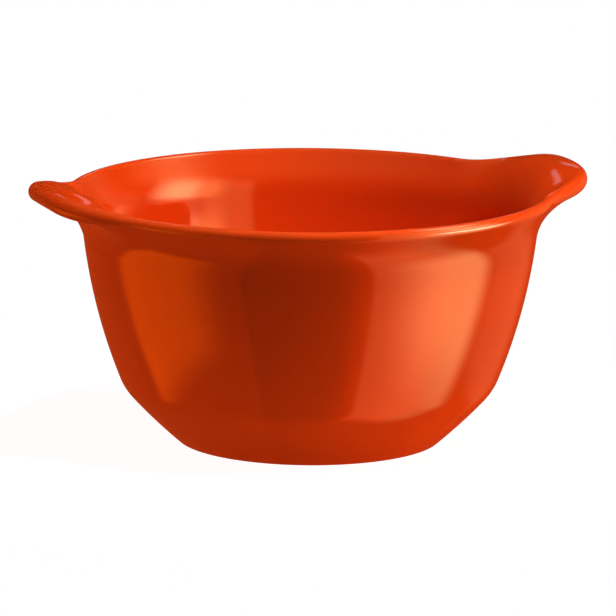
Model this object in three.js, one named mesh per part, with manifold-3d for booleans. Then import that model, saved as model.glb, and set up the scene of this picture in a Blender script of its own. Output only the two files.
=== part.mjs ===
// Lug-handled stoneware soup bowl: a clay body, two lugs and a foot ring, luted together with
// slip under a coat of glaze. Millimetres, +Z up. The origin is the middle of the foot on the
// table, the lugs lie along X and the front faces -Y.
import * as THREE from "three";
import { LoftGeometry } from "three/addons/geometries/LoftGeometry.js";
import { mergeVertices } from "three/addons/utils/BufferGeometryUtils.js";
import Module from "manifold-3d";

// Rim
const RIM_RADIUS = 73; // outside of the plain lip
const RIM_HEIGHT = 76; // top of the plain lip
const LIP_THICKNESS = 3.7; // the lip is a full round of this diameter
const RIM_LEAN = 57; // degrees above the horizontal at which the flare reaches the plain lip
const FLARE_WIDTH = 5.2; // how far the lip stands out past the neck, where the flare starts
const FLARE_HEIGHT = 14.2; // from the neck up to the top of the lip
const FLARE_EASE = 0.42; // share of the flare over which each of its ends keeps its direction

// Wall, as its outside runs down from the neck to the heel and in to the foot
const WALL_THICKNESS = 4.8; // at the neck
const BASE_THICKNESS = 7.2; // of the wall lower down, where its inside bends into the floor
const WALL_TAPER = 11.9; // how much narrower the heel is than the neck
const WALL_BULGE = 1.6; // how far the wall swells from a straight line
const HEEL_HEIGHT = 16.4; // of the blunt edge where the wall turns in under the bowl
const HEEL_ROUNDING = 3; // how far from the edge its rounding starts
const UNDERCUT_WIDTH = 16.5; // from the heel in to the edge of the foot
const UNDERCUT_BULGE = 0.4; // swell of the slope between them

// Well
const FLOOR_THICKNESS = 6.5; // at the edge of its flat middle, above the bed of the foot
const FLOOR_MARGIN = 11.5; // from the edge of the foot in to that flat middle
const FLOOR_CROWN = 0.2; // how far the floor's centre stands above its edge
const BEND_RISE = 21; // of the rounded part between the floor and the inside of the wall

// Lugs
const LUG_REACH = 12.3; // how far the tip stands out past the plain lip
const LUG_RISE = 4.9; // how far the tip stands above the plain lip
const LUG_THICKNESS = 6; // the tip is a full round of this diameter
const LUG_DROOP = 10; // degrees below the horizontal at which the lug reaches its tip
const LUG_TIP_WIDTH = 15.5; // blunt end of the lug
const LUG_ROOT_WIDTH = 76; // where its sides run out into the rim
const LUG_SEAT_RISE = 1.7; // from the neck up to the notch that the lug is set into
const LUG_CREASE = 0.05; // share of the lug's underside that still follows the wall
const LUG_LEVEL = 0.56; // share of it that follows the tip

// Foot
const FOOT_HEIGHT = 2.5; // from the table to the bed under the floor
const FOOT_WIDTH = 5; // of the ring's face on the table
const FOOT_DRAFT = 1; // how far the ring's inner side leans in over its own height

// Layers and joints
const GLAZE = 0.4; // thickness of the glaze coat
const BOND = 0.1; // between the glaze and the clay
const SLIP = 0.3; // luted joint between two pieces of clay
const GLAZE_LINE = 0.3; // the coat stops this far above the table, where the foot is wiped bare

// Facets
const LUG_STEPS = 8; // round the bowl, in half a lug
const PLAIN_STEPS = 6; // round the bowl, from a lug's root to the middle of the side
const BEND_STEPS = 4;
const WALL_STEPS = 4;
const FLARE_STEPS = 6;
const LIP_STEPS = 6;
const HEEL_STEPS = 2;
const UNDERCUT_STEPS = 2;
const WELD = 1e-4; // points closer than this are one point

const wasm = await Module();
wasm.setup();

// A geometry as a solid that can be joined and cut.
function solidOf({ attributes, index }) {
  const bare = new THREE.BufferGeometry();
  bare.setAttribute("position", attributes.position);
  bare.setIndex(index);
  const merged = mergeVertices(bare, WELD);
  return new wasm.Manifold(
    new wasm.Mesh({
      numProp: 3,
      vertProperties: merged.attributes.position.array,
      triVerts: new Uint32Array(merged.index.array),
    }),
  );
}

// A solid as a geometry that a mesh can hold.
function geometryOf(solid) {
  const { vertProperties, triVerts } = solid.getMesh();
  const geometry = new THREE.BufferGeometry();
  geometry.setAttribute("position", new THREE.BufferAttribute(vertProperties, 3));
  geometry.setIndex(new THREE.BufferAttribute(triVerts, 1));
  geometry.computeVertexNormals();
  return geometry;
}

// A block from its lowest corner to its highest.
function block(low, high) {
  const size = new THREE.Vector3().subVectors(high, low);
  const middle = new THREE.Vector3().addVectors(low, high).multiplyScalar(0.5);
  return solidOf(new THREE.BoxGeometry(size.x, size.y, size.z).translate(middle.x, middle.y, middle.z));
}

// Sections are drawn in a half plane through the axis: x is the radius and y is the height.
// Along every section the air is on the left, from the floor to the lip and down to the foot.
function leftOf(tangent) {
  return new THREE.Vector2(-tangent.y, tangent.x);
}

// A gently swollen line from one point to another, its bulge on the left.
function swollenLine(from, to, bulge) {
  const middle = from.clone().lerp(to, 0.5);
  const side = leftOf(to.clone().sub(from).normalize());
  return new THREE.QuadraticBezierCurve(from, middle.addScaledVector(side, 2 * bulge), to);
}

// Points of the skin and their directions into the air, along part of a curve.
function skinAlong(curve, steps, from = 0, to = 1) {
  return Array.from({ length: steps + 1 }, (_, i) => {
    const t = THREE.MathUtils.lerp(from, to, i / steps);
    return { point: curve.getPoint(t), air: leftOf(curve.getTangent(t)) };
  });
}

// A curve that leaves one point and reaches another in given directions, and keeps each direction
// over a share of the way.
function easedCurve(from, fromWay, fromEase, to, toWay, toEase) {
  const span = from.distanceTo(to);
  return new THREE.CubicBezierCurve(
    from,
    from.clone().addScaledVector(fromWay, fromEase * span),
    to.clone().addScaledVector(toWay, -toEase * span),
    to,
  );
}

// The point across the wall from a point of its outside.
function acrossWall(share, thickness) {
  return wall.getPoint(share).addScaledVector(leftOf(wall.getTangent(share)), -thickness);
}

// The parts of the section that are the same all round the bowl.
const neck = new THREE.Vector2(RIM_RADIUS - FLARE_WIDTH, RIM_HEIGHT - FLARE_HEIGHT);
const heel = new THREE.Vector2(neck.x - WALL_TAPER, HEEL_HEIGHT);
const foot = new THREE.Vector2(heel.x - UNDERCUT_WIDTH, 0);
const wall = swollenLine(neck, heel, WALL_BULGE);
const undercut = swollenLine(heel, foot, UNDERCUT_BULGE);
const floorEdge = new THREE.Vector2(foot.x - FLOOR_MARGIN, FOOT_HEIGHT + FLOOR_THICKNESS);
const bendShare = (neck.y - floorEdge.y - BEND_RISE) / (neck.y - heel.y);
const flankBase = acrossWall(bendShare, BASE_THICKNESS);
const flankTop = acrossWall(0, WALL_THICKNESS);
const flank = swollenLine(flankBase, flankTop, -WALL_BULGE * bendShare ** 2);
const heelShareOfWall = 1 - HEEL_ROUNDING / wall.getLength();
const heelShareOfUndercut = HEEL_ROUNDING / undercut.getLength();

function outsideBelowNeck() {
  const rounding = new THREE.QuadraticBezierCurve(
    wall.getPoint(heelShareOfWall),
    heel,
    undercut.getPoint(heelShareOfUndercut),
  );
  return [
    ...skinAlong(wall, WALL_STEPS, 0, heelShareOfWall).slice(1, -1),
    ...skinAlong(rounding, HEEL_STEPS),
    ...skinAlong(undercut, UNDERCUT_STEPS, heelShareOfUndercut, 1).slice(1),
  ];
}

function insideBelowNeck() {
  const up = flank.getTangent(0);
  const corner = flankBase.clone().addScaledVector(up, (floorEdge.y - flankBase.y) / up.y);
  const centre = new THREE.Vector2(floorEdge.x / 2, floorEdge.y + FLOOR_CROWN);
  const crown = new THREE.LineCurve(centre, floorEdge);
  const bend = new THREE.QuadraticBezierCurve(floorEdge, corner, flankBase);
  return [
    ...skinAlong(crown, 1).slice(0, -1),
    ...skinAlong(bend, BEND_STEPS).slice(0, -1),
    ...skinAlong(flank, WALL_STEPS).slice(0, -1),
  ];
}

const lugHalfAngle = Math.asin(LUG_ROOT_WIDTH / 2 / RIM_RADIUS);

// How much of the lug there is at an angle round the bowl, from 0 on the plain rim to 1 at its
// middle: flat across the blunt end, then fading into the rim.
function lugShare(angle, endWidth) {
  const fromLug = Math.asin(Math.abs(Math.sin(angle)));
  const end = Math.asin(endWidth / 2 / (RIM_RADIUS + LUG_REACH));
  return 1 - THREE.MathUtils.smootherstep(fromLug, end, lugHalfAngle);
}

// The rim at an angle round the bowl: both sides of the wall carry on from the neck and lean out
// to the lip. Where there is a lug they run further out and up to its level end, and the outside
// turns sharply under it.
function rimSkin(angle) {
  const reach = lugShare(angle, LUG_TIP_WIDTH);
  const rise = lugShare(angle, 0);
  const blend = (plain, lug) => THREE.MathUtils.lerp(plain, lug, reach);
  const lean = THREE.MathUtils.degToRad(blend(RIM_LEAN, -LUG_DROOP));
  const outward = new THREE.Vector2(Math.cos(lean), Math.sin(lean));
  const across = leftOf(outward);
  const radius = blend(LIP_THICKNESS, LUG_THICKNESS) / 2;
  const lip = new THREE.Vector2(
    RIM_RADIUS + LUG_REACH * reach - radius,
    RIM_HEIGHT + LUG_RISE * rise - radius,
  );
  const inside = easedCurve(
    flankTop,
    flank.getTangent(1),
    FLARE_EASE,
    lip.clone().addScaledVector(across, radius),
    outward,
    FLARE_EASE,
  );
  const outside = easedCurve(
    lip.clone().addScaledVector(across, -radius),
    outward.clone().negate(),
    blend(FLARE_EASE, LUG_LEVEL),
    neck,
    wall.getTangent(0),
    blend(FLARE_EASE, LUG_CREASE),
  );
  const round = Array.from({ length: LIP_STEPS - 1 }, (_, i) => {
    const turned = across.angle() - (Math.PI * (i + 1)) / LIP_STEPS;
    const air = new THREE.Vector2(Math.cos(turned), Math.sin(turned));
    return { point: lip.clone().addScaledVector(air, radius), air };
  });
  return [...skinAlong(inside, FLARE_STEPS), ...round, ...skinAlong(outside, FLARE_STEPS)];
}

// Angles round the bowl, closer together in the lugs.
function anglesRound() {
  const quarter = [];
  for (let i = 0; i < LUG_STEPS; i++) {
    quarter.push((lugHalfAngle * i) / LUG_STEPS);
  }
  for (let i = 0; i < PLAIN_STEPS; i++) {
    quarter.push(THREE.MathUtils.lerp(lugHalfAngle, Math.PI / 2, i / PLAIN_STEPS));
  }
  const half = [...quarter, ...quarter.map((angle) => Math.PI - angle).toReversed()];
  half.splice(quarter.length, 0, Math.PI / 2);
  half.pop();
  return [...half, ...half.map((angle) => angle + Math.PI)];
}

// The whole bowl as one solid, with its skin sunk by a depth and its base flat on the table.
function bowlSunkBy(depth) {
  const inside = insideBelowNeck();
  const outside = outsideBelowNeck();
  const columns = anglesRound().map((angle) =>
    [...inside, ...rimSkin(angle), ...outside].map(({ point, air }) => {
      const sunk = point.clone().addScaledVector(air, -depth);
      return new THREE.Vector3(sunk.x * Math.cos(angle), sunk.x * Math.sin(angle), sunk.y);
    }),
  );
  const rings = columns[0].map((_, row) => columns.map((column) => column[row])).toReversed();
  rings[0].forEach((point) => point.setZ(0));
  return solidOf(new LoftGeometry(rings, { capStart: true, capEnd: true }));
}

// Cutting blocks run well past the clay.
const far = 2 * (RIM_RADIUS + LUG_REACH);
const top = 2 * (RIM_HEIGHT + LUG_RISE);
const clay = bowlSunkBy(GLAZE + BOND);

// The notch for a lug, on the side that the sign says, grown all round by a clearance.
function lugNotch(side, clearance) {
  const halfWidth = LUG_ROOT_WIDTH / 2 + clearance;
  const seat = neck.y + LUG_SEAT_RISE - clearance;
  return block(
    new THREE.Vector3(side > 0 ? 0 : -far, -halfWidth, seat),
    new THREE.Vector3(side > 0 ? far : 0, halfWidth, top),
  );
}

function lug(side) {
  return clay.intersect(lugNotch(side, 0));
}

function bowlBody() {
  const above = block(new THREE.Vector3(-far, -far, FOOT_HEIGHT), new THREE.Vector3(far, far, top));
  return clay.intersect(above).subtract(lugNotch(1, SLIP)).subtract(lugNotch(-1, SLIP));
}

// The ring under the floor: the outside carries on the bowl's slope, and the recess inside it
// narrows a little towards the bed so that the ring leaves its mould.
function footRing() {
  const crown = FOOT_HEIGHT - SLIP;
  const below = block(new THREE.Vector3(-far, -far, -top), new THREE.Vector3(far, far, crown));
  const mouth = foot.x - FOOT_WIDTH;
  const recess = new THREE.LatheGeometry(
    [
      new THREE.Vector2(0, -FOOT_HEIGHT),
      new THREE.Vector2(mouth + FOOT_DRAFT, -FOOT_HEIGHT),
      new THREE.Vector2(mouth - FOOT_DRAFT, FOOT_HEIGHT),
      new THREE.Vector2(0, FOOT_HEIGHT),
    ],
    4 * (LUG_STEPS + PLAIN_STEPS),
  ).rotateX(Math.PI / 2);
  return clay.intersect(below).subtract(solidOf(recess));
}

// The coat over everything but the wiped foot: the bowl less the same bowl sunk by the glaze.
function glazeCoat() {
  const above = block(new THREE.Vector3(-far, -far, GLAZE_LINE), new THREE.Vector3(far, far, top));
  return bowlSunkBy(0).subtract(bowlSunkBy(GLAZE)).intersect(above);
}

// The coat on the bed inside the foot ring.
function baseGlaze() {
  const radius = foot.x - FOOT_WIDTH - FOOT_DRAFT - SLIP;
  const disc = new THREE.CylinderGeometry(radius, radius, GLAZE, 4 * (LUG_STEPS + PLAIN_STEPS));
  return disc.rotateX(Math.PI / 2).translate(0, 0, FOOT_HEIGHT - BOND - GLAZE / 2);
}

const stoneware = { color: 0xc9b79c, roughness: 0.85, metalness: 0 };
const orangeGlaze = { color: 0xd2420f, roughness: 0.08, metalness: 0 };

function piece(name, geometry, finish) {
  const mesh = new THREE.Mesh(geometry, new THREE.MeshStandardMaterial(finish));
  mesh.name = name;
  return mesh;
}

const bowl = new THREE.Group();
bowl.name = "soup_bowl";
bowl.add(
  piece("bowl_body", geometryOf(bowlBody()), stoneware),
  piece("right_lug", geometryOf(lug(1)), stoneware),
  piece("left_lug", geometryOf(lug(-1)), stoneware),
  piece("foot_ring", geometryOf(footRing()), stoneware),
  piece("glaze_coat", geometryOf(glazeCoat()), orangeGlaze),
  piece("base_glaze", baseGlaze(), orangeGlaze),
);

export default bowl;
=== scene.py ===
"""Dresses a lug-handled soup bowl: glazed stoneware on a bare foot ring, in a pale studio.

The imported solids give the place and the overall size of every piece. Lengths are in millimetres
until a mesh is made, and Blender's own units are metres.
"""

import logging
import math
from abc import ABC, abstractmethod
from dataclasses import dataclass
from enum import Enum
from typing import ClassVar

import bpy
import numpy as np
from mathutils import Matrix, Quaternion, Vector


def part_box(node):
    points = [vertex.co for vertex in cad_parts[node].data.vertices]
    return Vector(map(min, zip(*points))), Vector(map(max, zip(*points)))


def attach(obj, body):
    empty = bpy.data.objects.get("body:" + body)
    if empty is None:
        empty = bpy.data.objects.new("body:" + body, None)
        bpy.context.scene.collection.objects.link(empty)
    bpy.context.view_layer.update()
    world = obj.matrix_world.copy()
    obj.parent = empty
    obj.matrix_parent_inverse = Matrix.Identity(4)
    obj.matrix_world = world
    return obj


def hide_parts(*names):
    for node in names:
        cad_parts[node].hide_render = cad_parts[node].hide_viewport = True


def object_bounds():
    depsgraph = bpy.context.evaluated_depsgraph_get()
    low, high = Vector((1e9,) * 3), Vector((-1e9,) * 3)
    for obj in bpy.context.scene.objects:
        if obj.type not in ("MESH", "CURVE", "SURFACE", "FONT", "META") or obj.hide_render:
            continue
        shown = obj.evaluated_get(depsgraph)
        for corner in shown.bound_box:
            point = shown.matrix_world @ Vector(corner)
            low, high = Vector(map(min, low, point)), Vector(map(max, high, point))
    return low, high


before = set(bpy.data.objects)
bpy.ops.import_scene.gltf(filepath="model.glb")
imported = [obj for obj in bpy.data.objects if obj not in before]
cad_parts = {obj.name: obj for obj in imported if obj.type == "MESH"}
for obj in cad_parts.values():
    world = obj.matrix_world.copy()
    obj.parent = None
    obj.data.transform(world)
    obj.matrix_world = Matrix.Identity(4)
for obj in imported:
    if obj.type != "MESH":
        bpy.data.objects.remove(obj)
CAD_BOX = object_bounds()

MM = 0.001
BODY = "root"
WHITE = "ffffff"
# A point this near the axis, in millimetres, lies on it.
ON_AXIS = 1e-6
# Each point of the glaze holds how much has gathered there, from 0 on sharp edges to 1 in hollows.
POOL = "glaze_pool"
EVEN_POOL = 0.5
log = logging.getLogger("soup_bowl")


class Slot(Enum):
    """The record's material slots."""

    GLAZE = "orange_glaze"
    CLAY = "stoneware"


def linear(hex_colour: str) -> tuple[float, float, float, float]:
    """Turns an sRGB hex colour into linear light.

    Args:
        hex_colour: six hex digits, with or without a leading #.

    Returns:
        Red, green, blue and an alpha of 1.
    """
    digits = hex_colour.lstrip("#")
    channels = [int(digits[i : i + 2], 16) / 255 for i in (0, 2, 4)]
    light = [c / 12.92 if c <= 0.04045 else ((c + 0.055) / 1.055) ** 2.4 for c in channels]
    return (*light, 1.0)


def add_node(
    tree: bpy.types.NodeTree,
    kind: str,
    inputs: dict[str | int, object] | None = None,
    **settings: object,
) -> bpy.types.Node:
    """Adds a shader node, sets its properties and fills or links its inputs.

    Args:
        tree: node tree that takes the node.
        kind: Blender's type name of the node.
        inputs: input socket to a plain value, or to the output socket that feeds it.
        settings: properties of the node itself.

    Returns:
        The new node.
    """
    node = tree.nodes.new(kind)
    for name, value in settings.items():
        setattr(node, name, value)
    for socket, value in (inputs or {}).items():
        if isinstance(value, bpy.types.NodeSocket):
            tree.links.new(value, node.inputs[socket])
        else:
            node.inputs[socket].default_value = value
    return node


def new_material(name: str) -> tuple[bpy.types.Material, bpy.types.NodeTree]:
    """Makes an empty node material.

    Args:
        name: the material's name.

    Returns:
        The material and its cleared node tree.
    """
    material = bpy.data.materials.new(name)
    material.use_nodes = True
    material.node_tree.nodes.clear()
    return material, material.node_tree


def add_object(name: str, data: bpy.types.ID) -> bpy.types.Object:
    """Puts a new object in the scene, at the origin.

    Args:
        name: the object's name.
        data: its mesh, lamp or camera.

    Returns:
        The object.
    """
    thing = bpy.data.objects.new(name, data)
    bpy.context.scene.collection.objects.link(thing)
    return thing


def smooth_step(low: float, high: float, x: np.ndarray | float) -> np.ndarray | float:
    """Rises from 0 at low to 1 at high with no jump in slope or curvature."""
    share = np.clip((x - low) / (high - low), 0.0, 1.0)
    return share**3 * (share * (6 * share - 15) + 10)


def lerp(start: float, end: float, share: float) -> float:
    """Goes a share of the way from one number to another."""
    return start + (end - start) * share


def heading(angles: np.ndarray | float) -> np.ndarray:
    """Flat unit directions at angles from the first axis."""
    return np.stack([np.cos(angles), np.sin(angles)], axis=-1)


def left_of(directions: np.ndarray) -> np.ndarray:
    """Turns flat directions a quarter turn to the left."""
    return np.stack([-directions[..., 1], directions[..., 0]], axis=-1)


def even_angles(count: int) -> np.ndarray:
    """Angles at even steps all the way round the bowl."""
    return np.arange(count) * 2 * math.pi / count


@dataclass(frozen=True)
class Bezier:
    """A flat curve in the half plane of a section: x is the radius and y the height."""

    controls: np.ndarray
    length_steps: ClassVar[int] = 64

    def _blend(self, controls: np.ndarray, t: np.ndarray) -> np.ndarray:
        """Weighs control points by the Bernstein polynomials.

        Args:
            controls: the control points, or the steps between them.
            t: shares of the way along the curve.

        Returns:
            The weighed sum at each share.
        """
        degree = len(controls) - 1
        weights = [math.comb(degree, k) * t**k * (1 - t) ** (degree - k) for k in range(degree + 1)]
        return np.stack(weights, axis=-1) @ controls

    def points(self, t: np.ndarray) -> np.ndarray:
        """Points of the curve at the shares t."""
        return self._blend(self.controls, t)

    def tangents(self, t: np.ndarray) -> np.ndarray:
        """Unit directions of the curve at the shares t."""
        slopes = self._blend(np.diff(self.controls, axis=0), t)
        return slopes / np.linalg.norm(slopes, axis=-1, keepdims=True)

    def length(self) -> float:
        """Length of the curve."""
        points = self.points(np.linspace(0.0, 1.0, self.length_steps + 1))
        return float(np.linalg.norm(np.diff(points, axis=0), axis=1).sum())


def swollen_line(start: np.ndarray, end: np.ndarray, bulge: float) -> Bezier:
    """Joins two points by a line that swells to its left.

    Args:
        start: first point.
        end: last point.
        bulge: how far the middle stands off the straight line.

    Returns:
        The curve.
    """
    side = left_of((end - start) / np.linalg.norm(end - start))
    return Bezier(np.array([start, (start + end) / 2 + side * 2 * bulge, end]))


def eased_curve(
    start: np.ndarray,
    start_pull: np.ndarray,
    end: np.ndarray,
    end_pull: np.ndarray,
) -> Bezier:
    """Joins two points by a curve that leaves and reaches them in given directions.

    Args:
        start: first point.
        start_pull: direction there, as long as the share of the way that keeps to it.
        end: last point.
        end_pull: the same for the other end.

    Returns:
        The curve.
    """
    span = np.linalg.norm(end - start)
    return Bezier(np.array([start, start + start_pull * span, end - end_pull * span, end]))


@dataclass(frozen=True)
class Skin:
    """A run of surface along a section: its points, and the way into the air at each."""

    points: np.ndarray
    air: np.ndarray

    @classmethod
    def along(cls, curve: Bezier, steps: int, start: float = 0.0, end: float = 1.0) -> "Skin":
        """Takes the left side of a stretch of curve.

        Args:
            curve: curve with the air on its left.
            steps: number of segments.
            start: share of the curve where the stretch starts.
            end: share where it ends.

        Returns:
            The skin of that stretch.
        """
        t = np.linspace(start, end, steps + 1)
        return cls(curve.points(t), left_of(curve.tangents(t)))

    @classmethod
    def joined(cls, runs: list["Skin"]) -> "Skin":
        """Joins runs that follow each other, dropping each repeated end.

        Args:
            runs: the runs, each of which starts where the one before it ends.

        Returns:
            One skin.
        """
        kept = [cls(run.points[:-1], run.air[:-1]) for run in runs[:-1]] + runs[-1:]
        points = np.concatenate([run.points for run in kept])
        air = np.concatenate([run.air for run in kept])
        return cls(points, air)

    def sunk(self, depth: float) -> np.ndarray:
        """Points of the skin, sunk by a depth."""
        return self.points - self.air * depth

    def convexity(self) -> np.ndarray:
        """Measures how sharply the skin turns over.

        Returns:
            The turn at each point, in radians for each millimetre, below zero in hollows.
        """
        bearing = np.unwrap(np.arctan2(self.air[:, 1], self.air[:, 0]))
        steps = np.linalg.norm(np.diff(self.points, axis=0), axis=1)
        return -np.gradient(bearing, np.concatenate([[0.0], np.cumsum(steps)]))


@dataclass(frozen=True)
class BowlForm:
    """The bowl's shape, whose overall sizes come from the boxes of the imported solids.

    Lengths are in millimetres, and the rim's lean and the lug's droop in degrees. The flare's ease
    and the lug's crease and level are shares of a curve.
    """

    rim_radius: float
    rim_height: float
    lug_reach: float
    # The lip, and the flare under it.
    lip_thickness: float = 3.7
    rim_lean: float = 57.0
    flare_width: float = 5.2
    flare_height: float = 14.2
    flare_ease: float = 0.42
    # The wall, its heel and the slope under it.
    wall_thickness: float = 4.8
    base_thickness: float = 7.2
    wall_taper: float = 11.9
    wall_bulge: float = 1.6
    heel_height: float = 16.4
    heel_rounding: float = 3.0
    undercut_width: float = 16.5
    undercut_bulge: float = 0.4
    # The floor inside, and the bend up to the wall.
    floor_height: float = 9.0
    floor_margin: float = 11.5
    bend_rise: float = 21.0
    # The lugs.
    lug_rise: float = 4.9
    lug_thickness: float = 6.0
    lug_droop: float = 10.0
    lug_tip_width: float = 15.5
    lug_root_width: float = 76.0
    lug_crease: float = 0.05
    lug_level: float = 0.56
    # The coat of glaze, and how far above the table it stops.
    glaze: float = 0.4
    bond: float = 0.1
    glaze_line: float = 0.3
    # Facets of each stretch of the section.
    floor_steps: int = 9
    bend_steps: int = 28
    flank_steps: int = 16
    flare_steps: int = 24
    lip_steps: int = 24
    wall_steps: int = 30
    heel_steps: int = 12
    undercut_steps: int = 16

    @classmethod
    def from_frame(cls) -> "BowlForm":
        """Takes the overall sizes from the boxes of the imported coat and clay.

        Returns:
            The form that fits them.
        """
        low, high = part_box("glaze_coat")
        rim_radius = (high.y - low.y) / 2 / MM
        lug_reach = (high.x - low.x) / 2 / MM - rim_radius
        rim_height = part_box("bowl_body")[1].z / MM + cls.glaze + cls.bond
        return cls(rim_radius=rim_radius, rim_height=rim_height, lug_reach=lug_reach)

    @property
    def neck(self) -> np.ndarray:
        """Outside of the wall where it starts to flare into the rim."""
        return np.array([self.rim_radius - self.flare_width, self.rim_height - self.flare_height])

    @property
    def heel(self) -> np.ndarray:
        """Blunt edge where the wall turns in under the bowl."""
        return np.array([self.neck[0] - self.wall_taper, self.heel_height])

    @property
    def foot(self) -> np.ndarray:
        """Outer edge of the foot on the table."""
        return np.array([self.heel[0] - self.undercut_width, 0.0])

    @property
    def wall(self) -> Bezier:
        """Outside of the wall, from the neck down to the heel."""
        return swollen_line(self.neck, self.heel, self.wall_bulge)

    @property
    def undercut(self) -> Bezier:
        """Slope under the bowl, from the heel in to the foot."""
        return swollen_line(self.heel, self.foot, self.undercut_bulge)

    @property
    def flank(self) -> Bezier:
        """Inside of the wall, which thickens downwards.

        Returns:
            The curve from the bend up to the neck.
        """
        rise = self.floor_height + self.bend_rise
        share = (self.neck[1] - rise) / (self.neck[1] - self.heel[1])
        ends = Skin.along(self.wall, 1, share, 0.0)
        low = ends.sunk(self.base_thickness)[0]
        high = ends.sunk(self.wall_thickness)[1]
        return swollen_line(low, high, -self.wall_bulge * share**2)

    def well(self) -> Skin:
        """Draws the inside below the neck.

        Returns:
            The skin from the middle of the floor up.
        """
        edge = np.array([self.foot[0] - self.floor_margin, self.floor_height])
        start = self.flank.controls[0]
        rise = self.flank.tangents(np.zeros(1))[0]
        corner = start + rise * (edge[1] - start[1]) / rise[1]
        return Skin.joined([
            Skin.along(Bezier(np.array([[0.0, edge[1]], edge])), self.floor_steps),
            Skin.along(Bezier(np.array([edge, corner, start])), self.bend_steps),
            Skin.along(self.flank, self.flank_steps),
        ])

    def outside(self) -> Skin:
        """Draws the outside below the neck.

        Returns:
            The skin down to the line where the glaze is wiped off.
        """
        on_wall = 1 - self.heel_rounding / self.wall.length()
        on_undercut = self.heel_rounding / self.undercut.length()
        shares = np.array([on_wall, on_undercut])
        corner = np.array([self.wall.points(shares)[0], self.heel, self.undercut.points(shares)[1]])
        last = 1 - self.glaze_line / self.heel[1]
        return Skin.joined([
            Skin.along(self.wall, self.wall_steps, 0.0, on_wall),
            Skin.along(Bezier(corner), self.heel_steps),
            Skin.along(self.undercut, self.undercut_steps, on_undercut, last),
        ])

    def lug_share(self, angle: float, end_width: float) -> float:
        """How much of a lug there is at an angle round the bowl.

        Args:
            angle: angle round the bowl, from the right lug.
            end_width: width of the blunt end, over which the lug is whole.

        Returns:
            0 on the plain rim, up to 1 at the middle of a lug.
        """
        from_lug = math.asin(abs(math.sin(angle)))
        end = math.asin(end_width / 2 / (self.rim_radius + self.lug_reach))
        root = math.asin(self.lug_root_width / 2 / self.rim_radius)
        return float(1 - smooth_step(end, root, from_lug))

    def rim(self, angle: float) -> Skin:
        """Draws the flare and the lip, which swell into a lug at each side.

        Args:
            angle: angle round the bowl, from the right lug.

        Returns:
            The skin from the inside of the neck over the lip to its outside.
        """
        reach = self.lug_share(angle, self.lug_tip_width)
        rise = self.lug_share(angle, 0.0)
        lean = math.radians(lerp(self.rim_lean, -self.lug_droop, reach))
        outward = heading(lean)
        across = left_of(outward)
        radius = lerp(self.lip_thickness, self.lug_thickness, reach) / 2
        lip = np.array([
            self.rim_radius + self.lug_reach * reach - radius,
            self.rim_height + self.lug_rise * rise - radius,
        ])
        up = self.flank.tangents(np.ones(1))[0]
        down = self.wall.tangents(np.zeros(1))[0]
        inside = eased_curve(
            self.flank.controls[-1],
            up * self.flare_ease,
            lip + across * radius,
            outward * self.flare_ease,
        )
        outside = eased_curve(
            lip - across * radius,
            -outward * lerp(self.flare_ease, self.lug_level, reach),
            self.neck,
            down * lerp(self.flare_ease, self.lug_crease, reach),
        )
        first = math.atan2(across[1], across[0])
        round_air = heading(first - np.linspace(0.0, math.pi, self.lip_steps + 1))
        return Skin.joined([
            Skin.along(inside, self.flare_steps),
            Skin(lip + round_air * radius, round_air),
            Skin.along(outside, self.flare_steps),
        ])

    def section(self, angle: float) -> Skin:
        """The whole glazed skin at an angle round the bowl, from the floor's middle to the foot."""
        return Skin.joined([self.well(), self.rim(angle), self.outside()])


def spun_mesh(name: str, columns: int, profiles: np.ndarray) -> bpy.types.Mesh:
    """Makes a closed mesh from profiles round the axis.

    Args:
        name: the mesh's name.
        columns: number of even steps round the axis.
        profiles: one profile for each step, or a single one for them all: points as radius and
            height in millimetres, with the air on the left. A profile that starts and ends on the
            axis is closed there by fans of triangles, and another is joined end to start.

    Returns:
        The mesh, in metres, with smooth shading.
    """
    angles = even_angles(columns)
    profiles = np.broadcast_to(profiles, (columns, *profiles.shape[-2:]))
    poled = abs(profiles[0, 0, 0]) < ON_AXIS
    rings = profiles[:, 1:-1] if poled else profiles
    x = rings[..., 0] * np.cos(angles)[:, None]
    y = rings[..., 0] * np.sin(angles)[:, None]
    points = np.stack([x, y, rings[..., 1]], axis=-1).transpose(1, 0, 2).reshape(-1, 3)
    count = rings.shape[1]
    faces = []
    for row in range(count - 1 if poled else count):
        here, there = row * columns, (row + 1) % count * columns
        for column in range(columns):
            turn = (column + 1) % columns
            faces.append((here + column, there + column, there + turn, here + turn))
    if poled:
        first, last = len(points), len(points) + 1
        ends = [[0.0, 0.0, profiles[0, 0, 1]], [0.0, 0.0, profiles[0, -1, 1]]]
        points = np.concatenate([points, ends])
        edge = (count - 1) * columns
        for column in range(columns):
            turn = (column + 1) % columns
            faces.append((first, column, turn))
            faces.append((last, edge + turn, edge + column))
    mesh = bpy.data.meshes.new(name)
    mesh.from_pydata((points * MM).tolist(), [], faces)
    mesh.shade_smooth()
    return mesh


def mark_pool(mesh: bpy.types.Mesh, pool: np.ndarray) -> None:
    """Writes how much glaze has gathered at each point of a mesh."""
    mesh.attributes.new(POOL, "FLOAT", "POINT").data.foreach_set("value", pool.astype(np.float32))


def add_piece(name: str, mesh: bpy.types.Mesh, node: str) -> bpy.types.Object:
    """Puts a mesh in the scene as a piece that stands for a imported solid.

    Args:
        name: the piece's name.
        mesh: its mesh, already in place.
        node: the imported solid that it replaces.

    Returns:
        The piece.
    """
    piece = add_object(name, mesh)
    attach(piece, BODY)
    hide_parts(node)
    return piece


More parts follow.
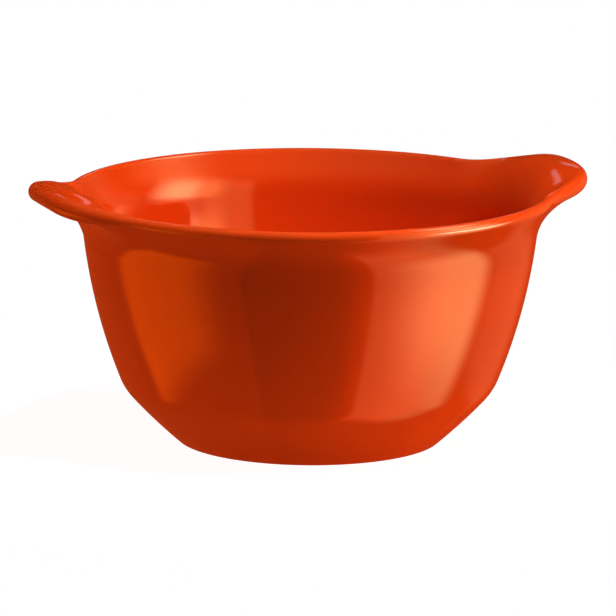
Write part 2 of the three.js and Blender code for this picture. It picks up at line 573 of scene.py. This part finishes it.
@dataclass(frozen=True)
class OrangeGlaze:
    """Glossy opaque orange-red glaze, sprayed on and fired to glass.

    It is smooth enough to mirror the studio with crisp edges. It runs thin over sharp edges, where
    the pale clay warms it, and gathers deeper and redder in hollows. Sizes are in millimetres.
    """

    thin: str = "d23a08"
    even: str = "ce3404"
    pooled: str = "c42c03"
    roughness: float = 0.045
    # Glazes have an index of 1.5 to 1.7. This is higher, to match how strongly the bowl mirrors.
    ior: float = 1.9
    # The spray left it a little deeper in some places than in others.
    cloud_width: float = 45.0
    cloud_depth: float = 0.16
    cloud_detail: float = 3.0
    # The fired surface is not quite flat, which bends the edges of what it mirrors.
    ripple_width: float = 9.0
    ripple_height: float = 0.004
    ripple_detail: float = 2.0

    def material(self) -> bpy.types.Material:
        """Builds the glaze's shader.

        Returns:
            The material.
        """
        material, tree = new_material("orange_glaze_fired")
        place = add_node(tree, "ShaderNodeTexCoord").outputs["Object"]
        pool = add_node(tree, "ShaderNodeAttribute", attribute_name=POOL).outputs["Fac"]
        cloud = add_node(
            tree,
            "ShaderNodeTexNoise",
            {"Vector": place, "Scale": 1 / (self.cloud_width * MM), "Detail": self.cloud_detail},
        ).outputs["Fac"]
        drift = add_node(
            tree,
            "ShaderNodeMath",
            {0: cloud, 1: self.cloud_depth, 2: -self.cloud_depth / 2},
            operation="MULTIPLY_ADD",
        ).outputs[0]
        depth = add_node(tree, "ShaderNodeMath", {0: pool, 1: drift}, operation="ADD").outputs[0]
        ramp = add_node(tree, "ShaderNodeValToRGB", {"Fac": depth})
        stops = ramp.color_ramp.elements
        stops[0].position, stops[0].color = 0.0, linear(self.thin)
        stops[1].position, stops[1].color = 1.0, linear(self.pooled)
        stops.new(EVEN_POOL).color = linear(self.even)
        ripple = add_node(
            tree,
            "ShaderNodeTexNoise",
            {"Vector": place, "Scale": 1 / (self.ripple_width * MM), "Detail": self.ripple_detail},
        ).outputs["Fac"]
        bump = add_node(
            tree,
            "ShaderNodeBump",
            {"Height": ripple, "Strength": 1.0, "Distance": self.ripple_height * MM},
        ).outputs["Normal"]
        shader = add_node(
            tree,
            "ShaderNodeBsdfPrincipled",
            {
                "Base Color": ramp.outputs["Color"],
                "Roughness": self.roughness,
                "IOR": self.ior,
                "Normal": bump,
            },
        )
        add_node(tree, "ShaderNodeOutputMaterial", {"Surface": shader.outputs["BSDF"]})
        return material


@dataclass(frozen=True)
class BareStoneware:
    """Unglazed stoneware, moulded and fired: a matt, pale buff clay with fine dark grit.

    Sizes are in millimetres. A speck of grit is whole out to its core and gone at its edge, both
    counted from its middle.
    """

    clay: str = "cbb89c"
    grit: str = "9c8566"
    roughness: float = 0.85
    grit_spacing: float = 2.0
    grit_core: float = 0.24
    grit_edge: float = 0.52
    grain_size: float = 1.2
    grain_height: float = 0.03
    grain_detail: float = 6.0
    grain_strength: float = 0.6

    def material(self) -> bpy.types.Material:
        """Builds the clay's shader.

        Returns:
            The material.
        """
        material, tree = new_material("bare_stoneware_fired")
        place = add_node(tree, "ShaderNodeTexCoord").outputs["Object"]
        specks = add_node(
            tree,
            "ShaderNodeTexVoronoi",
            {"Vector": place, "Scale": 1 / (self.grit_spacing * MM)},
        ).outputs["Distance"]
        share = add_node(
            tree,
            "ShaderNodeMapRange",
            {
                "Value": specks,
                "From Min": self.grit_core / self.grit_spacing,
                "From Max": self.grit_edge / self.grit_spacing,
                "To Min": 1.0,
                "To Max": 0.0,
            },
        ).outputs["Result"]
        colour = add_node(
            tree,
            "ShaderNodeMix",
            {"Factor": share, "A": linear(self.clay), "B": linear(self.grit)},
            data_type="RGBA",
        )
        grain = add_node(
            tree,
            "ShaderNodeTexNoise",
            {"Vector": place, "Scale": 1 / (self.grain_size * MM), "Detail": self.grain_detail},
        ).outputs["Fac"]
        bump = add_node(
            tree,
            "ShaderNodeBump",
            {"Height": grain, "Strength": self.grain_strength, "Distance": self.grain_height * MM},
        ).outputs["Normal"]
        shader = add_node(
            tree,
            "ShaderNodeBsdfPrincipled",
            {"Base Color": colour.outputs["Result"], "Roughness": self.roughness, "Normal": bump},
        )
        add_node(tree, "ShaderNodeOutputMaterial", {"Surface": shader.outputs["BSDF"]})
        return material


class ShapedPiece(ABC):
    """A piece with a mesh of its own, which has one finish all over."""

    @abstractmethod
    def build(self) -> bpy.types.Object:
        """Makes the piece and puts it in the scene."""

    def dress(self, piece: bpy.types.Object, finish: OrangeGlaze | BareStoneware) -> None:
        """Gives the piece its finish."""
        piece.data.materials.append(finish.material())


@dataclass(frozen=True)
class GlazeCoat(ShapedPiece):
    """The coat of glaze over the bowl, the rim and the lugs, as a closed shell.

    Its clay side, which nothing shows, has one point for each stride of the glazed side. The pool's
    reach, in millimetres, is half the radius of an edge on which the glaze is at its thinnest.
    """

    form: BowlForm
    columns: int = 360
    back_stride: int = 3
    bead_steps: int = 8
    pool_reach: float = 0.9

    def profile(self, angle: float) -> tuple[np.ndarray, np.ndarray]:
        """Walks round the coat's section at an angle.

        Args:
            angle: angle round the bowl.

        Returns:
            The closed profile, from the axis over the glazed side and back along the clay side,
            and how much glaze has gathered at each of its points.
        """
        skin = self.form.section(angle)
        front, back = skin.points, skin.sunk(self.form.glaze)
        middle = (front[-1] + back[-1]) / 2
        first = math.atan2(skin.air[-1][1], skin.air[-1][0])
        turns = first - np.linspace(0.0, math.pi, self.bead_steps + 1)[1:-1]
        bead = middle + heading(turns) * self.form.glaze / 2
        kept = np.concatenate([back[:-1 : self.back_stride], back[-1:]])[::-1]
        gathered = np.clip(EVEN_POOL - self.pool_reach * skin.convexity(), 0.0, 1.0)
        pool = np.concatenate([gathered, np.full(len(bead) + len(kept), EVEN_POOL)])
        return np.concatenate([front, bead, kept]), pool

    def build(self) -> bpy.types.Object:
        """Makes the coat's mesh, with how much glaze has gathered at each point.

        Returns:
            The piece.
        """
        walks = [self.profile(angle) for angle in even_angles(self.columns)]
        profiles = np.stack([points for points, _ in walks])
        mesh = spun_mesh("glaze_coat_skin", self.columns, profiles)
        pool = np.stack([pool for _, pool in walks])
        mark_pool(mesh, np.concatenate([pool[:, 1:-1].T.ravel(), pool[0, [0, -1]]]))
        return add_piece("glaze_coat_skin", mesh, "glaze_coat")


@dataclass(frozen=True)
class BaseGlaze(ShapedPiece):
    """The disc of glaze inside the foot ring, with the soft roll of its edge."""

    columns: int = 144
    roll: float = 0.2
    roll_steps: int = 8
    flat_steps: int = 9

    def build(self) -> bpy.types.Object:
        """Makes the disc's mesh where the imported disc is.

        Returns:
            The piece.
        """
        low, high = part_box("base_glaze")
        bottom, top = low.z / MM, high.z / MM
        flat = high.x / MM - self.roll
        turns = np.linspace(math.pi / 2, -math.pi / 2, self.roll_steps + 1)
        edge = np.array([flat, (bottom + top) / 2]) + heading(turns) * [self.roll, (top - bottom) / 2]
        spread = np.linspace(0.0, flat, self.flat_steps + 1)[:-1]
        upper = np.stack([spread, np.full(len(spread), top)], axis=-1)
        lower = np.stack([spread, np.full(len(spread), bottom)], axis=-1)[::-1]
        mesh = spun_mesh("base_glaze_disc", self.columns, np.concatenate([upper, edge, lower]))
        mark_pool(mesh, np.full(len(mesh.vertices), EVEN_POOL))
        return add_piece("base_glaze_disc", mesh, "base_glaze")


@dataclass(frozen=True)
class FootRing(ShapedPiece):
    """The bare ring that the bowl stands on, with its edges rubbed round."""

    form: BowlForm
    width: float = 5.0
    draft: float = 1.0
    edge: float = 0.35
    edge_steps: int = 5
    columns: int = 180

    def build(self) -> bpy.types.Object:
        """Makes the ring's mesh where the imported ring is.

        Returns:
            The piece.
        """
        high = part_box("foot_ring")[1]
        height = high.z / MM
        outer = self.form.foot[0] - self.form.glaze - self.form.bond
        inner = self.form.foot[0] - self.width
        corners = np.array([
            [outer, 0.0],
            [inner, 0.0],
            [inner - self.draft, height],
            [high.x / MM, height],
        ])
        mesh = spun_mesh("foot_ring_bare", self.columns, self.rounded(corners)[::-1])
        return add_piece("foot_ring_bare", mesh, "foot_ring")

    def rounded(self, corners: np.ndarray) -> np.ndarray:
        """Rounds each corner of a closed outline.

        Args:
            corners: the outline's sharp corners.

        Returns:
            The outline with each corner as a short curve.
        """
        t = np.linspace(0.0, 1.0, self.edge_steps + 1)
        runs = []
        for i, corner in enumerate(corners):
            before, after = corners[i - 1], corners[(i + 1) % len(corners)]
            start = corner + (before - corner) / np.linalg.norm(before - corner) * self.edge
            end = corner + (after - corner) / np.linalg.norm(after - corner) * self.edge
            runs.append(Bezier(np.array([start, corner, end])).points(t))
        return np.concatenate(runs)


@dataclass(frozen=True)
class ClayBody:
    """The packed clay solids under the glaze, which stay as they are."""

    nodes: tuple[str, ...] = ("bowl_body", "left_lug", "right_lug")

    def solids(self) -> list[bpy.types.Object]:
        """The solids themselves."""
        return [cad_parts[name] for name in self.nodes]

    def dress(self, finish: BareStoneware) -> None:
        """Gives each solid the bare clay's finish.

        Args:
            finish: the clay's finish.
        """
        material = finish.material()
        for solid in self.solids():
            solid.data.materials.clear()
            solid.data.materials.append(material)


@dataclass(frozen=True)
class PhotoCamera:
    """A long lens at the photograph's angle. Angles are in degrees and lengths in millimetres."""

    azimuth: float = -19.7
    elevation: float = 11.47
    distance: float = 1583.0
    aim_height: float = 39.48
    aim_side: float = -0.44
    roll: float = 0.43
    lens: float = 308.1

    def ways(self, turn: np.ndarray | float, rise: np.ndarray | float) -> np.ndarray:
        """Unit directions from the bowl into the studio.

        Args:
            turn: degrees to the right of the camera's own bearing.
            rise: degrees above the level.

        Returns:
            The directions, as x, y and z.
        """
        bearing, slope = np.radians(self.azimuth + turn), np.radians(rise)
        level = np.cos(slope)
        return np.stack([np.sin(bearing) * level, -np.cos(bearing) * level, np.sin(slope)], axis=-1)

    def side(self) -> Vector:
        """Level direction to the camera's right."""
        return Vector(self.ways(90.0, 0.0))

    def build(self) -> None:
        """Adds the camera and makes it the scene's own."""
        data = bpy.data.cameras.new("photo_camera")
        data.lens = self.lens
        camera = add_object("photo_camera", data)
        back = Vector(self.ways(0.0, self.elevation))
        aim = self.side() * self.aim_side + Vector((0.0, 0.0, self.aim_height))
        camera.location = (aim + back * self.distance) * MM
        camera.rotation_mode = "QUATERNION"
        turn = Quaternion((0.0, 0.0, 1.0), math.radians(self.roll))
        camera.rotation_quaternion = (-back).to_track_quat("-Z", "Y") @ turn
        bpy.context.scene.camera = camera


@dataclass(frozen=True)
class Softbox:
    """A rectangular studio lamp that faces the bowl, with its glow as seen from the front.

    The turn, the elevation and the spread of its beam are in degrees, and lengths in millimetres.
    """

    name: str
    turn: float
    elevation: float
    distance: float
    width: float
    height: float
    glow: float
    spread: float = 180.0
    aim_side: float = 0.0

    def build(self, camera: PhotoCamera, middle: Vector) -> None:
        """Hangs the lamp, which the glaze doesn't mirror; the tent's painted reflections stand in for
        its image.

        Args:
            camera: camera that turns are counted from.
            middle: middle of the bowl, in metres, which the lamp faces unless it aims to one side.
        """
        data = bpy.data.lights.new(self.name, "AREA")
        data.shape = "RECTANGLE"
        data.size, data.size_y = self.width * MM, self.height * MM
        # A face gives off pi times its glow from each square metre.
        data.energy = math.pi * data.size * data.size_y * self.glow
        data.spread = math.radians(self.spread)
        lamp = add_object(self.name, data)
        away = Vector(camera.ways(self.turn, self.elevation))
        lamp.location = middle + (camera.side() * self.aim_side + away * self.distance) * MM
        lamp.rotation_mode = "QUATERNION"
        lamp.rotation_quaternion = away.to_track_quat("Z", "Y")
        lamp.visible_camera = False
        lamp.visible_glossy = False


@dataclass(frozen=True)
class GlowPanel:
    """A glowing patch of the tent, a painted reflection in the glaze, with an edge of its own softness
    on each of its four sides.

    A span says where the light starts, is full, starts to fade and is gone, in degrees: turns count
    to the right from the camera's own bearing, and rises from the level.
    """

    glow: float
    turns: tuple[float, float, float, float]
    rises: tuple[float, float, float, float]
    colour: str = WHITE

    def light(self, turn: np.ndarray, rise: np.ndarray) -> np.ndarray:
        """Red, green and blue of the panel's painted glow at bearings on the tent."""
        share = self.within(self.turns, turn) * self.within(self.rises, rise)
        return self.glow * share[..., None] * np.array(linear(self.colour)[:3])

    @staticmethod
    def within(span: tuple[float, float, float, float], bearing: np.ndarray) -> np.ndarray:
        """How far bearings lie inside a span, from 0 to 1."""
        start, full, fading, end = span
        return smooth_step(start, full, bearing) * (1 - smooth_step(fading, end, bearing))


@dataclass(frozen=True)
class PaintedReflectionTent:
    """A dim, warm, glowing tent round the bowl with brighter glowing panels in it.

    Smooth glaze takes much of its look from what it mirrors. The tent glows in that mirror alone and
    lights nothing else, so its glow is painted reflection and highlight; the lamps light the bowl.
    """

    light_name: ClassVar[str] = "light"
    # This span runs past both sides of the tent's seam, which is at the first turn.
    all_round: ClassVar[tuple[float, float, float, float]] = (-150.0, -145.0, 225.0, 230.0)
    first_turn: float = -140.0
    turn_steps: int = 240
    rise_steps: int = 120
    radius: float = 3000.0
    panels: tuple[GlowPanel, ...] = (
        # Painted reflection: the large glowing panel on the right, which fills the front of the wall
        # and fades to the left.
        GlowPanel(2.4, (30.0, 84.0, 95.0, 113.0), (-50.0, -27.0, 0.0, 12.0), "ffc07c"),
        GlowPanel(0.5, (31.0, 37.0, 91.0, 112.0), (-76.0, -50.0, 0.0, 12.0), "ffbc76"),
        GlowPanel(0.4, (30.0, 84.0, 91.0, 112.0), (-74.0, -46.0, -44.0, -34.0), "ffbc76"),
        GlowPanel(1.75, (12.0, 42.0, 60.0, 105.0), (-80.0, -56.0, -10.0, 5.0), "ff3100"),
        # Painted highlight: the bright glowing bar above it, which runs along the lip.
        GlowPanel(9.0, (50.0, 75.0, 80.0, 112.0), (-20.0, -11.0, -4.0, 8.0), "ffd2aa"),
        GlowPanel(3.6, (82.0, 94.0, 125.0, 150.0), (44.0, 52.0, 58.0, 68.0), "ffd2aa"),
        # Painted highlight: the glowing window over the right lug, which shows on the inside of the
        # wall.
        GlowPanel(3.0, (62.0, 76.0, 80.0, 110.0), (7.0, 17.0, 22.0, 50.0), "ffbf93"),
        GlowPanel(3.0, (42.0, 70.0, 80.0, 110.0), (7.0, 17.0, 26.0, 52.0), "ffb169"),
        GlowPanel(0.85, (31.0, 36.0, 54.0, 68.0), (2.0, 8.0, 24.0, 52.0), "ffb169"),
        GlowPanel(0.85, (55.0, 90.0, 110.0, 145.0), (24.0, 42.0, 48.0, 60.0), "ffb169"),
        # Painted reflection: the amber glowing panel on the left of the wall, which tints the glaze's
        # mirror orange.
        GlowPanel(1.7, (-121.0, -108.0, -78.0, -40.0), (-43.0, -33.0, -20.0, -10.0), "ff5d00"),
        # Painted highlights: small glows behind, which show on the lugs.
        GlowPanel(0.5, (188.0, 191.0, 195.0, 199.0), (30.0, 34.0, 40.0, 44.0)),
        GlowPanel(0.4, (167.0, 171.0, 176.0, 180.0), (17.0, 20.0, 24.0, 27.0)),
        GlowPanel(0.25, (102.0, 118.0, 138.0, 165.0), (-36.0, -28.0, 10.0, 30.0), "ffcf90"),
        # The dim glowing ceiling, and the warm reddish glow of the tent itself: painted reflections all
        # over the glaze.
        GlowPanel(0.3, all_round, (30.0, 62.0, 90.0, 95.0), "ffb169"),
        GlowPanel(0.9, all_round, (-95.0, -91.0, 91.0, 95.0), "b33f19"),
    )

    def glow_mesh(self, camera: PhotoCamera) -> bpy.types.Mesh:
        """Makes the tent's mesh, with the painted glow of its panels at each point.

        Args:
            camera: camera that turns are counted from.

        Returns:
            The mesh, in metres, round the origin.
        """
        rise, turn = np.meshgrid(
            np.linspace(-90.0, 90.0, self.rise_steps + 1),
            np.linspace(0.0, 360.0, self.turn_steps + 1) + self.first_turn,
            indexing="ij",
        )
        light = np.zeros((*turn.shape, 4), np.float32)
        for panel in self.panels:
            light[..., :3] += panel.light(turn, rise)
        points = (camera.ways(turn, rise) * self.radius * MM).reshape(-1, 3)
        index = np.arange(len(points)).reshape(turn.shape)
        corners = [index[:-1, :-1], index[:-1, 1:], index[1:, 1:], index[1:, :-1]]
        mesh = bpy.data.meshes.new("painted_reflection_tent")
        mesh.from_pydata(points.tolist(), [], np.stack(corners, axis=-1).reshape(-1, 4).tolist())
        held = mesh.attributes.new(self.light_name, "FLOAT_COLOR", "POINT").data
        held.foreach_set("color", light.ravel())
        return mesh

    def finish(self) -> bpy.types.Material:
        """Makes the tent's glow, seen only as painted reflections, from the light that each point
        holds.

        Returns:
            The material.
        """
        material, tree = new_material("painted_reflection_tent")
        light = add_node(tree, "ShaderNodeAttribute", attribute_name=self.light_name).outputs["Color"]
        glow = add_node(tree, "ShaderNodeEmission", {"Color": light}).outputs["Emission"]
        add_node(tree, "ShaderNodeOutputMaterial", {"Surface": glow})
        return material

    def build(self, camera: PhotoCamera, middle: Vector) -> None:
        """Puts up the tent, whose glow only the glaze's mirror sees.

        Args:
            camera: camera that turns are counted from.
            middle: middle of the tent, in metres.
        """
        mesh = self.glow_mesh(camera)
        mesh.materials.append(self.finish())
        tent = add_object("painted_reflection_tent", mesh)
        tent.location = middle
        tent.visible_camera = False
        tent.visible_diffuse = False
        tent.visible_transmission = False
        tent.visible_shadow = False


@dataclass(frozen=True)
class Studio:
    """A pale floor among soft lamps, in a white surround.

    The floor is pale under the bowl, where it takes a soft shadow, and turns white between two
    distances from the bowl's middle, in millimetres.
    """

    camera: PhotoCamera
    floor_size: float = 8000.0
    floor_colour: str = "9c9b99"
    floor_glow: float = 0.96
    white_from: float = 60.0
    white_to: float = 200.0
    ambient: float = 0.02
    lamps: tuple[Softbox, ...] = (
        Softbox("right_softbox", 83.0, -11.0, 900.0, 800.0, 900.0, 5.7),
        Softbox("left_softbox", -74.0, -18.0, 900.0, 800.0, 560.0, 4.05),
        Softbox("back_softbox", 178.0, -22.0, 900.0, 800.0, 420.0, 2.6),
        Softbox("overhead_softbox", 25.0, 70.0, 1000.0, 900.0, 900.0, 0.1),
        Softbox("well_softbox", 55.0, 70.0, 600.0, 160.0, 160.0, 2.0, 16.0, -14.0),
    )
    tent: PaintedReflectionTent = PaintedReflectionTent()

    @staticmethod
    def seen(tree: bpy.types.NodeTree) -> bpy.types.NodeSocket:
        """Tells what is looked at from what only gives light.

        Args:
            tree: node tree that takes the nodes.

        Returns:
            1 for what the camera sees by itself, in a mirror or through glass, and 0 otherwise.
        """
        path = add_node(tree, "ShaderNodeLightPath").outputs
        pair = {0: path["Is Camera Ray"], 1: path["Is Glossy Ray"]}
        either = add_node(tree, "ShaderNodeMath", pair, operation="MAXIMUM").outputs[0]
        three = {0: either, 1: path["Is Transmission Ray"]}
        return add_node(tree, "ShaderNodeMath", three, operation="MAXIMUM").outputs[0]

    def surround(self) -> None:
        """Makes the world: white to the eye, and a faint even light."""
        world = bpy.data.worlds.new("white_surround")
        bpy.context.scene.world = world
        world.use_nodes = True
        tree = world.node_tree
        tree.nodes.clear()
        even = {"Color": linear(WHITE), "Strength": self.ambient}
        faint = add_node(tree, "ShaderNodeBackground", even).outputs[0]
        plain = {"Color": linear(WHITE), "Strength": 1.0}
        white = add_node(tree, "ShaderNodeBackground", plain).outputs[0]
        mix = add_node(tree, "ShaderNodeMixShader", {"Fac": self.seen(tree), 1: faint, 2: white})
        add_node(tree, "ShaderNodeOutputWorld", {"Surface": mix.outputs["Shader"]})

    def floor_finish(self) -> bpy.types.Material:
        """Makes the floor's finish, from pale to white.

        Returns:
            The material.
        """
        material, tree = new_material("pale_floor")
        seen = self.seen(tree)
        paint = add_node(tree, "ShaderNodeBsdfDiffuse", {"Color": linear(self.floor_colour)}).outputs[0]
        dim = {0: seen, 1: self.floor_glow}
        strength = add_node(tree, "ShaderNodeMath", dim, operation="MULTIPLY").outputs[0]
        glow = add_node(tree, "ShaderNodeEmission", {"Strength": strength}).outputs[0]
        near = add_node(tree, "ShaderNodeAddShader", {0: paint, 1: glow}).outputs[0]
        place = add_node(tree, "ShaderNodeTexCoord").outputs["Object"]
        reach = add_node(tree, "ShaderNodeVectorMath", {0: place}, operation="LENGTH").outputs["Value"]
        far = add_node(
            tree,
            "ShaderNodeMapRange",
            {"Value": reach, "From Min": self.white_from * MM, "From Max": self.white_to * MM},
            interpolation_type="SMOOTHERSTEP",
        ).outputs["Result"]
        both = add_node(tree, "ShaderNodeMath", {0: far, 1: seen}, operation="MULTIPLY").outputs[0]
        white = add_node(tree, "ShaderNodeEmission", {"Strength": 1.0}).outputs[0]
        mix = add_node(tree, "ShaderNodeMixShader", {"Fac": both, 1: near, 2: white}).outputs[0]
        add_node(tree, "ShaderNodeOutputMaterial", {"Surface": mix})
        return material

    def floor(self) -> None:
        """Lays the floor."""
        half = self.floor_size / 2 * MM
        mesh = bpy.data.meshes.new("pale_floor")
        corners = [(-half, -half, 0.0), (half, -half, 0.0), (half, half, 0.0), (-half, half, 0.0)]
        mesh.from_pydata(corners, [], [(0, 1, 2, 3)])
        mesh.materials.append(self.floor_finish())
        floor = add_object("pale_floor", mesh)
        # The glaze mirrors the lower half of the tent, and the low lamps shine up under the bowl, so
        # the floor stands in the way of neither.
        floor.visible_glossy = False
        floor.visible_shadow = False

    def build(self) -> None:
        """Sets up the floor, the surround, the lamps and the tent."""
        bpy.context.scene.view_settings.view_transform = "Standard"
        self.floor()
        self.surround()
        middle = (CAD_BOX[0] + CAD_BOX[1]) / 2
        for lamp in self.lamps:
            lamp.build(self.camera, middle)
        self.tent.build(self.camera, middle)


def main() -> None:
    """Builds and dresses each piece, then sets up the studio."""
    logging.basicConfig(level=logging.INFO, format="%(name)s: %(message)s")
    form = BowlForm.from_frame()
    glaze, clay = OrangeGlaze(), BareStoneware()
    clay_body = ClayBody()
    clay_body.dress(clay)
    pieces = clay_body.solids()
    for part, finish in ((GlazeCoat(form), glaze), (BaseGlaze(), glaze), (FootRing(form), clay)):
        piece = part.build()
        part.dress(piece, finish)
        pieces.append(piece)
    for piece in pieces:
        log.info("%s: %d faces", piece.name, len(piece.data.polygons))
    camera = PhotoCamera()
    camera.build()
    Studio(camera).build()


if __name__ == "__main__":
    main()
